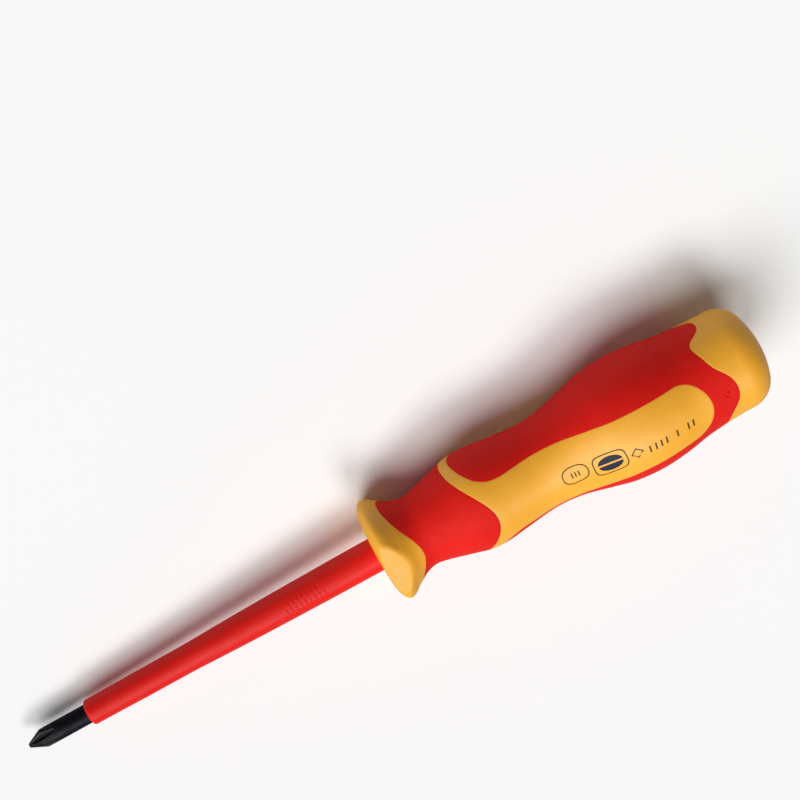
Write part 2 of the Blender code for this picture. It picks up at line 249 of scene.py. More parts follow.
def skin_point(u, angle, drop=0.0):
    """The point of the skin at distance u along the profile, sunk by drop, in metres."""
    x, radius, (normal_x, normal_r) = along(u)
    x -= drop * normal_x
    radius -= drop * normal_r
    y, z = radius * math.sin(angle), radius * math.cos(angle)
    if x < FLAT_REACH:
        flat = GUARD_FLAT / MM - drop
        z = math.copysign(soft_min(abs(z), flat, FLAT_SOFTNESS), z)
    return Vector((GUARD_FACE + x * MM, y * MM, z * MM))


def room_point(x, angle):
    """The point under the skin, where a moulding meets the core's ribs."""
    radius = smooth_value(ROOM_OUTLINE, x) * MM
    return Vector((GUARD_FACE + x * MM, radius * math.sin(angle), radius * math.cos(angle)))


# ---------------------------------------------------------------- edges between the colours


def guard_edge(angle):
    return 8.0 + 2.5 * math.cos(2 * angle) + 0.15 * math.cos(4 * angle)


def collar_edge(angle):
    return 26.7 + 3.6 * math.cos(2 * angle) + 0.45 * math.cos(4 * angle)


def cap_edge(angle):
    """A broad lobe of the rear grip behind each panel and a small one at each side."""
    across = math.degrees(math.asin(abs(math.sin(angle))))
    return smooth_value(CAP_EDGE, across)


def edge_line(edge, count=90):
    """A quarter of an edge round the handle, from the panel's middle to the side: (u, angle)."""
    line = []
    for i in range(count + 1):
        angle = math.pi / 2 * i / count
        line.append((travel_at(edge(angle)), angle))
    return line


def grip_radius(x):
    return smooth_value(GRIP_OUTLINE, x)


def panel_line():
    """A quarter of the panel's edge, from the tongue's end in the middle to the band at the side."""
    straight_end, half_width = TONGUE_HALF_WIDTH[-1]
    points = []
    for i in range(40):
        turn = math.pi / 2 * i / 40
        x = straight_end + (TONGUE_END - straight_end) * math.cos(turn)
        points.append((x, math.asin(half_width * math.sin(turn) / grip_radius(x))))
    straight_start = TONGUE_HALF_WIDTH[0][0]
    for i in range(80):
        x = straight_end + (straight_start - straight_end) * i / 80
        points.append((x, math.asin(smooth_value(TONGUE_HALF_WIDTH, x) / grip_radius(x))))
    shoulder = [(x, math.radians(angle)) for x, angle in reversed(PANEL_SHOULDER)]
    points += rounded(shoulder, points[-1], 10)
    return [(travel_at(x), angle) for x, angle in points]


def rounded(points, before, steps):
    """A smooth curve through the points, level in x at its end, coming from the point before."""
    last = points[-1]
    mirrored = (points[-2][0], 2 * last[1] - points[-2][1])
    chain = [before, *points, mirrored]
    curve = []
    for i in range(1, len(chain) - 2):
        p0, p1, p2, p3 = (Vector(chain[i + k]) for k in (-1, 0, 1, 2))
        if i == 1:
            p0 = p1 - (p1 - p0).normalized() * (p2 - p1).length
        for k in range(steps):
            t = k / steps
            curve.append(
                0.5 * (2 * p1 + (p2 - p0) * t + (2 * p0 - 5 * p1 + 4 * p2 - p3) * t**2
                + (3 * p1 - p0 - 3 * p2 + p3) * t**3)
            )
    return [tuple(point) for point in curve] + [last]


# ---------------------------------------------------------------- mesh tools


def new_object(name, mesh_data, body="root"):
    """A smooth closed mesh object from a bmesh, with its faces turned outwards."""
    bmesh.ops.remove_doubles(mesh_data, verts=mesh_data.verts, dist=MERGE_DISTANCE)
    bmesh.ops.recalc_face_normals(mesh_data, faces=mesh_data.faces)
    mesh = bpy.data.meshes.new(name)
    mesh_data.to_mesh(mesh)
    mesh_data.free()
    obj = bpy.data.objects.new(name, mesh)
    bpy.context.scene.collection.objects.link(obj)
    for polygon in mesh.polygons:
        polygon.use_smooth = True
    mesh.set_sharp_from_angle(angle=SHARP_ANGLE)
    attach(obj, body)
    return obj


def tube_of_rows(mesh_data, rows, closed=False):
    """Joins rows of points, each a ring round X. An open tube gets a flat disc at each end."""
    rings = [[mesh_data.verts.new(point) for point in row] for row in rows]
    count = len(rings[0])
    pairs = list(zip(rings, rings[1:]))
    if closed:
        pairs.append((rings[-1], rings[0]))
    for first, second in pairs:
        for i in range(count):
            j = (i + 1) % count
            mesh_data.faces.new((first[i], first[j], second[j], second[i]))
    if not closed:
        mesh_data.faces.new(rings[0])
        mesh_data.faces.new(rings[-1][::-1])


def turned_rows(outline, count=COLUMNS):
    """Rings of points for an outline of (x, radius) in metres."""
    rows = []
    for x, radius in outline:
        angles = [2 * math.pi * i / count for i in range(count)]
        rows.append([Vector((x, radius * math.sin(a), radius * math.cos(a))) for a in angles])
    return rows


def arc(centre, radius, start, end, steps):
    """Points of an arc in the (x, radius) plane, angles in degrees from +x."""
    points = []
    for i in range(steps + 1):
        angle = math.radians(start + (end - start) * i / steps)
        points.append((centre[0] + radius * math.cos(angle), centre[1] + radius * math.sin(angle)))
    return points


def ring_rows(front, rear, spacing):
    """Rows of the skin between two edges, with a lip at each. An edge gives u at an angle."""

    def lip_row(starts, stretches, distance, drop):
        return [skin_point(u + distance * k, a, drop) for u, k, a in zip(starts, stretches, ANGLES)]

    step = 0.001
    reach = LIP[-1][0]
    lines = []
    for edge, sign in ((front, 1), (rear, -1)):
        starts = [edge(a) for a in ANGLES]
        stretch = []
        for a, u in zip(ANGLES, starts):
            radius = along(u)[1]
            slope = (edge(a + step) - edge(a - step)) / (2 * step * radius)
            stretch.append(sign * math.hypot(1, slope))
        lines.append((starts, stretch))
    (front_u, front_stretch), (rear_u, rear_stretch) = lines
    rows = []
    for distance, drop in LIP:
        rows.append(lip_row(front_u, front_stretch, distance, drop))
    longest = max(r - f for f, r in zip(front_u, rear_u))
    count = max(round(longest / spacing), 3)
    for i in range(1, count):
        t = i / count
        row = []
        for f, fs, r, rs, a in zip(front_u, front_stretch, rear_u, rear_stretch, ANGLES):
            low, high = f + reach * fs, r + reach * rs
            row.append(skin_point(low + (high - low) * t, a))
        rows.append(row)
    for distance, drop in reversed(LIP):
        rows.append(lip_row(rear_u, rear_stretch, distance, drop))
    return rows


def offset_line(line, distance, ends):
    """The line moved sideways over the skin by distance, towards higher x if distance is positive."""
    points = [skin_point(u, a) for u, a in line]
    moved = []
    for i, (u, angle) in enumerate(line):
        if i in (0, len(line) - 1):
            moved.append((u + distance, ends[0] if i == 0 else ends[1]))
            continue
        tangent = (points[i + 1] - points[i - 1]).normalized()
        normal_x, normal_r = along(u)[2]
        normal = Vector((normal_x, normal_r * math.sin(angle), normal_r * math.cos(angle)))
        aside = tangent.cross(normal)
        if distance < 0:
            aside = -aside
        target = points[i] + aside * abs(distance) * MM
        x = (target.x - GUARD_FACE) / MM
        moved.append((travel_at(x), math.atan2(target.y, target.z)))
    return moved


def inside(polygon, point):
    x, y = point
    within = False
    for (x0, y0), (x1, y1) in zip(polygon, polygon[1:] + polygon[:1]):
        if (y0 > y) != (y1 > y) and x < x0 + (x1 - x0) * (y - y0) / (y1 - y0):
            within = not within
    return within


def gap_to(polygon, point):
    """The shortest distance from the point to the polygon's corners and edges."""
    px, py = point
    best = 1e9
    for (x0, y0), (x1, y1) in zip(polygon, polygon[1:] + polygon[:1]):
        dx, dy = x1 - x0, y1 - y0
        length = dx * dx + dy * dy
        t = min(max(((px - x0) * dx + (py - y0) * dy) / length, 0), 1) if length else 0
        best = min(best, math.hypot(px - x0 - t * dx, py - y0 - t * dy))
    return best


def fill_points(polygon, spacing):
    """Points in rows inside the polygon, staggered, away from its edge."""
    low_x, high_x = min(p[0] for p in polygon), max(p[0] for p in polygon)
    low_y, high_y = min(p[1] for p in polygon), max(p[1] for p in polygon)
    row_height = spacing * 0.87
    points = []
    for row in range(int((high_y - low_y) / row_height) + 1):
        y = low_y + row_height * (row + 0.5)
        for column in range(int((high_x - low_x) / spacing) + 1):
            point = (low_x + spacing * (column + 0.25 + 0.5 * (row % 2)), y)
            if inside(polygon, point) and gap_to(polygon, point) > spacing * 0.45:
                points.append(point)
    return points


def triangulate(polygon, lines, extra):
    """Triangles that fill the polygon and use the lines' edges.

    Returns the points, the triangles and where each input point went.
    """
    points = list(polygon)
    edges = []
    for line in lines:
        start = len(points)
        points += line
        edges += [(start + i, start + i + 1) for i in range(len(line) - 1)]
    points += extra
    made = delaunay_2d_cdt([Vector(p) for p in points], edges, [list(range(len(polygon)))], 1, 1e-6)
    where = {}
    result = [tuple(p) for p in made[0]]
    for i, originals in enumerate(made[3]):
        for original in originals:
            where[original] = i
            result[i] = points[original]
    return result, [list(face) for face in made[2]], where


UNROLL_RADIUS = 13.0  # the skin is unrolled onto a cylinder of this radius to be filled with triangles


def unroll(line):
    return [(u, angle * UNROLL_RADIUS) for u, angle in line]


def straight_steps(start, end):
    """Points between two unrolled points, without the two."""
    (x0, y0), (x1, y1) = start, end
    count = max(2, round(math.dist(start, end) / SKIN_SPACING))
    return [(x0 + (x1 - x0) * i / count, y0 + (y1 - y0) * i / count) for i in range(1, count)]


def quarter_skin(front, rear):
    """A quarter of a zone between two lines, as a bmesh: the skin, its rims and its inner side."""
    ends = (0.0, math.pi / 2)
    flat_front, flat_rear = unroll(front), unroll(rear)
    polygon = flat_front + straight_steps(flat_front[-1], flat_rear[-1])
    rear_start = len(polygon)
    polygon += flat_rear[::-1] + straight_steps(flat_rear[0], flat_front[0])
    rims = [
        list(range(len(flat_front))),
        list(range(rear_start + len(flat_rear) - 1, rear_start - 1, -1)),
    ]
    drops = {i: LIP[0][1] for rim in rims for i in rim}
    lines = []
    count = len(polygon)
    for distance, drop in LIP[1:]:
        for line, sign in ((front, 1), (rear, -1)):
            moved = unroll(offset_line(line, sign * distance, ends))
            lines.append(moved)
            drops.update({count + i: drop for i in range(len(moved))})
            count += len(moved)
    core = lines[-2] + lines[-1][::-1]
    points, triangles, where = triangulate(polygon, lines, fill_points(core, SKIN_SPACING))
    sunk = {where[i]: drop for i, drop in drops.items()}
    skin = bmesh.new()
    outer = []
    for i, (u, across) in enumerate(points):
        outer.append(skin.verts.new(skin_point(u, across / UNROLL_RADIUS, sunk.get(i, 0.0))))
    for triangle in triangles:
        skin.faces.new([outer[i] for i in triangle])
    inner_fill = fill_points(polygon, INNER_SPACING)
    inner_points, inner_triangles, inner_where = triangulate(polygon, [], inner_fill)
    inner = []
    for u, across in inner_points:
        inner.append(skin.verts.new(room_point(along(u)[0], across / UNROLL_RADIUS)))
    for triangle in inner_triangles:
        skin.faces.new([inner[i] for i in triangle])
    for rim in rims:
        for first, second in zip(rim, rim[1:]):
            top = (outer[where[first]], outer[where[second]])
            low = (inner[inner_where[second]], inner[inner_where[first]])
            skin.faces.new((*top, *low))
    return skin


def mirrored_copies(quarter):
    """The whole zone from its quarter, mirrored in the XZ plane and then in the XY plane."""
    for axis in (1, 2):
        geometry = [*quarter.verts, *quarter.edges, *quarter.faces]
        made = bmesh.ops.duplicate(quarter, geom=geometry)
        copies = [item for item in made["geom"] if isinstance(item, bmesh.types.BMVert)]
        for vert in copies:
            vert.co[axis] = -vert.co[axis]
    return quarter


def zone_object(name, front, rear):
    whole = mirrored_copies(quarter_skin(front, rear))
    bmesh.ops.remove_doubles(whole, verts=whole.verts, dist=MERGE_DISTANCE)
    return new_object(name, whole)


# ---------------------------------------------------------------- materials


class Nodes:
    """Short calls for building a material's nodes."""

    def __init__(self, name):
        self.material = bpy.data.materials.new(name)
        self.material.use_nodes = True
        self.tree = self.material.node_tree
        self.shader = self.tree.nodes["Principled BSDF"]
        self.place = self.add("ShaderNodeTexCoord").outputs["Object"]

    def add(self, kind, **values):
        node = self.tree.nodes.new(kind)
        for name, value in values.items():
            setattr(node, name, value)
        return node

    def link(self, output, target):
        self.tree.links.new(output, target)

    def noise(self, scale, detail=2.0, roughness=0.5, stretch=(1, 1, 1)):
        mapping = self.add("ShaderNodeMapping")
        mapping.inputs["Scale"].default_value = stretch
        self.link(self.place, mapping.inputs["Vector"])
        noise = self.add("ShaderNodeTexNoise")
        noise.inputs["Scale"].default_value = scale
        noise.inputs["Detail"].default_value = detail
        noise.inputs["Roughness"].default_value = roughness
        self.link(mapping.outputs["Vector"], noise.inputs["Vector"])
        return noise.outputs["Fac"]

    def ranged(self, value, low, high, start=0.3, end=0.7):
        node = self.add("ShaderNodeMapRange")
        for name, number in (("From Min", start), ("From Max", end), ("To Min", low), ("To Max", high)):
            node.inputs[name].default_value = number
        self.link(value, node.inputs["Value"])
        return node.outputs["Result"]

    def mixed(self, factor, first, second):
        node = self.add("ShaderNodeMix", data_type="RGBA")
        for socket, value in ((node.inputs[6], first), (node.inputs[7], second)):
            if isinstance(value, tuple):
                socket.default_value = (*value, 1)
            else:
                self.link(value, socket)
        if isinstance(factor, float):
            node.inputs[0].default_value = factor
        else:
            self.link(factor, node.inputs[0])
        return node.outputs[2]

    def bump(self, heights):
        """Chains bumps: (height, distance in metres, strength)."""
        normal = None
        for height, distance, strength in heights:
            node = self.add("ShaderNodeBump")
            node.inputs["Distance"].default_value = distance
            node.inputs["Strength"].default_value = strength
            self.link(height, node.inputs["Height"])
            if normal:
                self.link(normal, node.inputs["Normal"])
            normal = node.outputs["Normal"]
        self.link(normal, self.shader.inputs["Normal"])


def shade(colour, factor):
    return tuple(min(channel * factor, 1.0) for channel in colour)


def moulded_plastic(name, colour, roughness, tint, grain, grain_size, streaks=1.0):
    """Moulded plastic: slow colour drift, a fine eroded grain and faint scuffs in its gloss."""
    nodes = Nodes(name)
    drift = nodes.ranged(nodes.noise(70, 3, 0.55, (streaks, 1, 1)), 0.0, 1.0)
    blotch = nodes.ranged(nodes.noise(420, 2, 0.5, (streaks, 1, 1)), 0.0, 1.0)
    body = nodes.mixed(drift, shade(colour, 0.93), tint)
    speckled = nodes.mixed(blotch, shade(colour, 0.97), shade(colour, 1.03))
    nodes.link(nodes.mixed(0.5, body, speckled), nodes.shader.inputs["Base Color"])
    scuffs = nodes.noise(900, 4, 0.6, (streaks, 1, 1))
    gloss = nodes.ranged(scuffs, roughness - 0.05, roughness + 0.07)
    nodes.link(gloss, nodes.shader.inputs["Roughness"])
    fine = nodes.noise(1 / grain_size, 3, 0.6)
    wave = nodes.noise(160, 1, 0.5, (streaks, 1, 1))
    nodes.bump([(wave, 0.0004, 0.05), (fine, 0.00008, grain)])
    return nodes


YELLOW = (0.95, 0.435, 0.024)
YELLOW_TINT = (0.97, 0.475, 0.038)
RED = (0.73, 0.009, 0.005)
RED_TINT = (0.78, 0.014, 0.009)


def make_materials():
    yellow = moulded_plastic("yellow_plastic", YELLOW, 0.45, YELLOW_TINT, 0.5, 0.00035)
    grip = moulded_plastic("red_grip", RED, 0.62, RED_TINT, 0.8, 0.0003)
    sleeve = moulded_plastic("red_sleeve", RED, 0.44, RED_TINT, 0.4, 0.00045, 0.25)
    for nodes, tint, gloss in (
        (yellow, (1.0, 0.6, 0.2), 0.55),
        (grip, (1.0, 0.15, 0.1), 0.13),
        (sleeve, (1.0, 0.15, 0.1), 0.2),
    ):
        nodes.shader.inputs["Subsurface Weight"].default_value = 0.06
        nodes.shader.inputs["Subsurface Radius"].default_value = tint
        nodes.shader.inputs["Subsurface Scale"].default_value = 0.0008
        nodes.shader.inputs["Specular IOR Level"].default_value = gloss
    core = moulded_plastic("core_plastic", (0.2, 0.2, 0.22), 0.5, (0.24, 0.24, 0.26), 0.3, 0.0004)
    return {
        "yellow_plastic": yellow.material,
        "red_grip": grip.material,
        "red_sleeve": sleeve.material,
        "core_plastic": core.material,
        "black_steel": black_steel(),
        "ink": ink("print_ink", (0.05, 0.022, 0.012), (0.16, 0.07, 0.02)),
        "dark_ink": ink("badge_ink", (0.008, 0.012, 0.032), (0.022, 0.028, 0.055)),
    }


def black_steel():
    """Blackened steel: a dark satin coat with fine turning marks, worn on the edges."""
    nodes = Nodes("black_steel")
    cloud = nodes.ranged(nodes.noise(500, 4, 0.6), 0.0, 1.0)
    coat = nodes.mixed(cloud, (0.004, 0.004, 0.006), (0.011, 0.010, 0.017))
    worn = nodes.add("ShaderNodeAttribute", attribute_name="worn").outputs["Fac"]
    patchy = nodes.add("ShaderNodeMath", operation="MULTIPLY")
    nodes.link(worn, patchy.inputs[0])
    nodes.link(nodes.ranged(nodes.noise(2500, 3, 0.7), 0.15, 0.9), patchy.inputs[1])
    colour = nodes.mixed(patchy.outputs[0], coat, (0.07, 0.064, 0.058))
    nodes.link(colour, nodes.shader.inputs["Base Color"])
    nodes.shader.inputs["Metallic"].default_value = 0.5
    nodes.shader.inputs["Specular IOR Level"].default_value = 0.15
    marks = nodes.noise(1600, 3, 0.6, (3.5, 1, 1))
    nodes.link(nodes.ranged(marks, 0.34, 0.5), nodes.shader.inputs["Roughness"])
    nodes.bump([(marks, 0.00006, 0.25), (nodes.noise(6000, 2, 0.6), 0.00004, 0.2)])
    return nodes.material


def ink(name, dark, thin):
    """Pad-printed ink, thinner in patches."""
    nodes = Nodes(name)
    cover = nodes.ranged(nodes.noise(3200, 3, 0.6), 0.0, 1.0, 0.35, 0.75)
    nodes.link(nodes.mixed(cover, dark, thin), nodes.shader.inputs["Base Color"])
    nodes.link(nodes.ranged(nodes.noise(2500, 2, 0.5), 0.45, 0.6), nodes.shader.inputs["Roughness"])
    nodes.shader.inputs["Specular IOR Level"].default_value = 0.2
    nodes.bump([(nodes.noise(3500, 2, 0.5), 0.00003, 0.3)])
    return nodes.material


def dress(obj, material):
    obj.data.materials.clear()
    obj.data.materials.append(material)


# ---------------------------------------------------------------- pieces of the handle


def make_guard():
    """The finger guard: a thick round rim with a flat above and below."""
    rows = ring_rows(lambda a: TRAVEL[0], lambda a: travel_at(guard_edge(a)), 0.28)
    rows.append([room_point(guard_edge(a), a) for a in ANGLES])
    core_front = ROOM_OUTLINE[0][0]
    rows.append([room_point(core_front, a) for a in ANGLES])
    hole_radius = SLEEVE_HOLE_RADIUS * MM
    back = GUARD_FACE + core_front * MM
    rows.append([Vector((back, hole_radius * math.sin(a), hole_radius * math.cos(a))) for a in ANGLES])
    solid = bmesh.new()
    tube_of_rows(solid, rows, closed=True)
    return new_object("finger_guard", solid)


def make_ring_zone(name, front_edge, rear_edge):
    rows = ring_rows(lambda a: travel_at(front_edge(a)), lambda a: travel_at(rear_edge(a)), 0.55)
    for t in (0, 0.25, 0.5, 0.75, 1):
        rows.append([room_point(rear_edge(a) + (front_edge(a) - rear_edge(a)) * t, a) for a in ANGLES])
    solid = bmesh.new()
    tube_of_rows(solid, rows, closed=True)
    return new_object(name, solid)


def make_end_cap():
    """The yellow end: from its wavy edge over the rounded corner and the dome to a flat land."""
    last = TRAVEL[-1] - 0.0001
    rows = ring_rows(lambda a: travel_at(cap_edge(a)), lambda a: last, 0.5)
    rows = rows[: -len(LIP)]
    rows.append([skin_point(last, a) for a in ANGLES])
    room_end, room_radius = ROOM_OUTLINE[-1]
    inner = [[room_point(cap_edge(a), a) for a in ANGLES]]
    inner.append([room_point((cap_edge(a) + room_end) / 2, a) for a in ANGLES])
    inner.append([room_point(room_end, a) for a in ANGLES])
    inner += turned_rows([(GUARD_FACE + (room_end + 0.2) * MM, room_radius * MM * 0.9)])
    solid = bmesh.new()
    tube_of_rows(solid, rows[::-1] + inner)
    return new_object("end_cap_skin", solid)


def sunk_mark(obj, centre, reach, depth_at):
    """Refines the skin round a point on it and sinks it by depth_at(distance), in millimetres."""
    shape = bmesh.new()
    shape.from_mesh(obj.data)
    for extra in (1.6, 1.2):
        limit = reach * extra * MM
        near = [e for e in shape.edges if all((v.co - centre).length < limit for v in e.verts)]
        bmesh.ops.subdivide_edges(shape, edges=near, cuts=2, use_grid_fill=True)
        cut = [face for face in shape.faces if len(face.verts) > 3]
        cut = [face for face in cut if (face.calc_center_median() - centre).length < reach * 2 * MM]
        bmesh.ops.poke(shape, faces=cut)
    for vert in shape.verts:
        distance = (vert.co - centre).length / MM
        if distance < reach:
            outward = Vector((0, vert.co.y, vert.co.z)).normalized()
            vert.co -= outward * depth_at(distance) * MM
    shape.to_mesh(obj.data)
    shape.free()


GATE_X, GATE_ANGLE, GATE_REACH = 94.6, math.radians(-1.0), 1.3


def gate_depth(distance):
    """The scar where the plastic was let into the mould: a round groove with a nub in its middle."""
    groove = math.exp(-(((distance - 0.72) / 0.18) ** 2))
    nub = math.exp(-((distance / 0.34) ** 2))
    return 0.24 * groove - 0.06 * nub + 0.05 * (1 - smooth_step(distance, 0.6, 0.9))


def make_handle(materials):
    guard = make_guard()
    front_grip = make_ring_zone("front_grip_skin", guard_edge, collar_edge)
    yoke = zone_object("panel_yoke_skin", edge_line(collar_edge), panel_line())
    rear_grip = zone_object("rear_grip_skin", panel_line(), edge_line(cap_edge))
    cap = make_end_cap()
    sunk_mark(rear_grip, skin_point(travel_at(GATE_X), GATE_ANGLE), GATE_REACH, gate_depth)
    for obj, node, slot_name in (
        (guard, "guard_ring", "yellow_plastic"),
        (front_grip, "front_grip", "red_grip"),
        (yoke, "panel_yoke", "yellow_plastic"),
        (rear_grip, "rear_grip", "red_grip"),
        (cap, "end_cap", "yellow_plastic"),
    ):
        dress(obj, materials[slot_name])
        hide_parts(node)


# ---------------------------------------------------------------- sleeve and blade


def sleeve_radius(x):
    """Outer radius of the sleeve x millimetres behind the tip, in metres."""
    return smooth_value(SLEEVE_OUTLINE, x) * MM


def make_sleeve(material):
    """The tapered sleeve, with a rounded lip, its bore and the hidden collar."""
    front = SLEEVE_FRONT / MM
    lip_radius = 0.9
    outline = [(front + 0.25, SHANK_RADIUS / MM + 0.03), (front + 0.05, SHANK_RADIUS / MM + 0.12)]
    outline += arc((front + lip_radius, sleeve_radius(front) / MM - lip_radius), lip_radius, 180, 90, 12)
    face = GUARD_FACE / MM
    x = front + lip_radius + 0.4
    while x < face + SLEEVE_COLLAR[0] - 1:
        outline.append((x, sleeve_radius(x) / MM))
        x += 0.8
    start, end, radius = SLEEVE_COLLAR
    neck = SLEEVE_OUTLINE[-1][1]
    outline += [(face + start, neck), (face + start, radius), (face + end, radius), (face + end, neck)]
    rear = SLEEVE_REAR / MM
    outline += [(rear, neck), (rear, SHANK_RADIUS / MM + 0.03)]
    solid = bmesh.new()
    tube_of_rows(solid, turned_rows([(x * MM, radius * MM) for x, radius in outline], 128), closed=True)
    sleeve = new_object("blade_sleeve", solid)
    dress(sleeve, material)
    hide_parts("shaft_sleeve")


EDGE_ROUND = 0.07  # width of the worn round on each wing's edge, in millimetres
MERGED_EDGE = 0.03  # half the angle between two wings' edges where the flutes have run out, in radians


def blade_radius(x):
    """Radius of the blade's round outline, with the cone at the tip, in millimetres."""
    cone = TIP_FLAT_RADIUS / MM + x * math.tan(TIP_HALF_ANGLE)
    return soft_min(cone, SHANK_RADIUS / MM, 0.12)


def wing_half_thickness(x):
    """Half the thickness of a cross wing: the flutes climb out of the shank along a shallow curve."""
    start, end = FLUTE_DEPTH_RADIUS / MM, SHANK_RADIUS / MM + 0.05
    t = min(x / (FLUTE_LENGTH / MM), 1)
    return (start + (end - start) * (0.72 * t + 0.28 * t * t)) / math.sqrt(2)


def blade_ring(x):
    """One ring of the blade, as (angle, radius, wear) points.

    Each half wing has a crest, an edge and a flank.
    """
    radius = blade_radius(x)
    half = wing_half_thickness(x)
    quarter = math.pi / 4
    corner = math.asin(min(half / radius, 1))
    fluted = corner < quarter - MERGED_EDGE
    corner = min(corner, quarter - MERGED_EDGE)
    chamfer = min(EDGE_ROUND / radius, corner * 0.4, (quarter - corner) * 0.6)
    half_wing = [((corner - chamfer) * share, radius, 0.15) for share in (0, 0.2, 0.4, 0.6, 0.8)]
    half_wing.append((corner - chamfer, radius, 0.9))
    half_wing.append((corner + chamfer * 0.1, radius * (0.996 if fluted else 1), 1.0))
    floor = half * math.sqrt(2) * 1.09
    for share in (0.12, 0.25, 0.4, 0.55, 0.7, 0.82, 0.91, 0.96):
        angle = corner + chamfer + (quarter - corner - chamfer) * share
        flank = soft_max(half / math.sin(angle), floor, 0.16 * half)
        half_wing.append((angle, min(flank, radius) if fluted else radius, 0.5 if share < 0.2 else 0.0))
    half_wing.append((quarter, min(floor, radius) if fluted else radius, 0.0))
    ring = []
    for wing in range(4):
        middle = wing * math.pi / 2
        for angle, distance, worn in reversed(half_wing[1:-1]):
            ring.append((middle - angle, distance, worn))
        for angle, distance, worn in half_wing:
            ring.append((middle + angle, distance, worn))
    return ring


def polar(x, radius, angle):
    """A point at a radius and an angle round the axis, from millimetres to metres."""
    return Vector((x * MM, radius * MM * math.sin(angle), radius * MM * math.cos(angle)))


def make_blade(material):
    """The steel from its cross tip to the tang, hidden in the handle."""
    stations = [0.0, 0.04]
    x = 0.1
    while x < 12:
        stations.append(x)
        x += 0.12 if x < 6 else 0.25
    stations += [13, 14, 15, 16, 17, 18, 30, 60, 100, 140, TANG_END / MM - 0.6]
    rows, wear = [], []
    for x in stations:
        ring = blade_ring(x)
        shrink = 0.06 if x == 0 else 0.0
        rows.append([polar(x, r - shrink, a) for a, r, w in ring])
        wear.append([w * (1 - smooth_step(x, 7, 10)) for a, r, w in ring])
    ring = blade_ring(TANG_END / MM)
    rows.append([polar(TANG_END / MM, r - 0.6, a) for a, r, w in ring])
    wear.append([0.0] * len(ring))
    solid = bmesh.new()
    layer = solid.verts.layers.float.new("worn")
    tube_of_rows(solid, rows)
    solid.verts.ensure_lookup_table()
    values = [value for row in wear for value in row]
    for vert, value in zip(solid.verts, values):
        vert[layer] = value
    blade = new_object("cross_tip_blade", solid)
    blade.data.set_sharp_from_angle(angle=BLADE_SHARP_ANGLE)
    dress(blade, material)
    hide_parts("blade")


# ---------------------------------------------------------------- prints and raised marks


def pad(shape, outline, surface, heights, spacing, sink=0.03):
    """Adds a thin closed pad to the bmesh: outline in the flat, laid on a surface.

    heights are (distance in from the outline, height). surface(a, b, height) gives the point.
    """
    points, triangles, where = triangulate(outline, [], fill_points(outline, spacing))
    top = []
    for a, b in points:
        gap = gap_to(outline, (a, b))
        height = smooth_value(heights, gap) if gap < heights[-1][0] else heights[-1][1]
        top.append(shape.verts.new(surface(a, b, height)))
    bottom = [shape.verts.new(surface(a, b, -sink)) for a, b in points]
    for triangle in triangles:
        shape.faces.new([top[i] for i in triangle])
        shape.faces.new([bottom[i] for i in reversed(triangle)])
    count = len(outline)
    for i in range(count):
        first, second = where[i], where[(i + 1) % count]
        shape.faces.new((top[second], top[first], bottom[first], bottom[second]))


def panel_surface(a, b, height):
    """Points on the yellow panel: a behind the guard's face, b round the handle from its middle."""
    u = travel_at(a)
    return skin_point(u, b / along(u)[1], -height)


def sleeve_surface(a, b, height):
    """Points on the sleeve: a behind the tip, b round the sleeve from its top."""
    radius = sleeve_radius(a) + height * MM
    angle = b * MM / sleeve_radius(a)
    return Vector((a * MM, radius * math.sin(angle), radius * math.cos(angle)))


def stroke(start, end, width):
    """The outline of a straight line drawn with a pen of some width."""
    (x0, y0), (x1, y1) = start, end
    length = math.dist(start, end)
    side_x, side_y = (y0 - y1) / length * width / 2, (x1 - x0) / length * width / 2
    pieces = max(1, round(length / 0.6))
    middle = [(x0 + (x1 - x0) * i / pieces, y0 + (y1 - y0) * i / pieces) for i in range(pieces + 1)]
    lower = [(x - side_x, y - side_y) for x, y in middle]
    return lower + [(x + side_x, y + side_y) for x, y in reversed(middle)]


def rounded_polygon(centre, size, corners, power=2.0):
    """Points of a rounded outline about a centre: an ellipse for power 2, squarer above it."""
    points = []
    for i in range(corners):
        angle = 2 * math.pi * i / corners
        c, s = math.cos(angle), math.sin(angle)
        stretch = (abs(c) ** power + abs(s) ** power) ** (-1 / power)
        points.append((centre[0] + size[0] * c * stretch, centre[1] + size[1] * s * stretch))
    return points


def ring_pad(shape, outer, inner, surface, height, sink=0.03):
    """A closed flat ring laid on a surface."""
    levels = []
    for level in (height, -sink):
        lines = (outer, inner)
        levels.append([[shape.verts.new(surface(a, b, level)) for a, b in line] for line in lines])
    count = len(outer)
    (top_outer, top_inner), (low_outer, low_inner) = levels
    for i in range(count):
        j = (i + 1) % count
        shape.faces.new((top_outer[i], top_outer[j], top_inner[j], top_inner[i]))
        shape.faces.new((low_outer[j], low_outer[i], low_inner[i], low_inner[j]))
        shape.faces.new((top_outer[j], top_outer[i], low_outer[i], low_outer[j]))
        shape.faces.new((top_inner[i], top_inner[j], low_inner[j], low_inner[i]))


PRINT_HEIGHT = 0.015
PRINT_HEIGHTS = [(0.0, PRINT_HEIGHT * 0.6), (0.05, PRINT_HEIGHT)]


